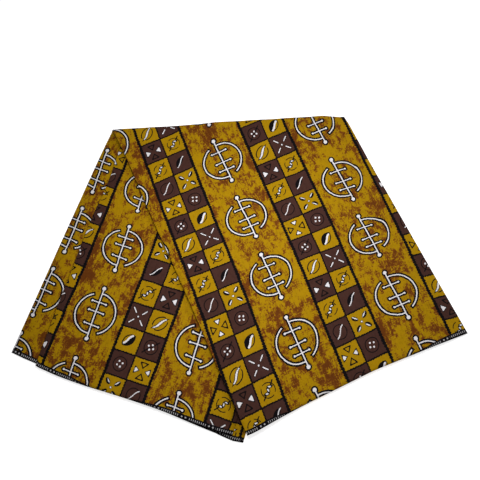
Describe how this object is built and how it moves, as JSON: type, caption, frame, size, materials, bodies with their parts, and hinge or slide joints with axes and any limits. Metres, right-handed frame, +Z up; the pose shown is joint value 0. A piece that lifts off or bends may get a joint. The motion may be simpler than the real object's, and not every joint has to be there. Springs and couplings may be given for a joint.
{
  "type": "folded wrapper cloth",
  "caption": "Length of printed cotton, pleated lengthwise into a strip and folded over once on a slant, so that one tail lies across the other",
  "frame": {"origin": "centre of the bounding box, on the surface the cloth lies on", "axes": "+X along the slanting fold at the back edge, towards the front tail's side; +Y away from the tails, towards the slanting fold; +Z up"},
  "size_m": [0.8478, 0.637, 0.0176],
  "materials": {
    "cloth": "matte printed cotton"
  },
  "bodies": {
    "root": {"cloth": "cloth"}
  },
  "joints": []
}
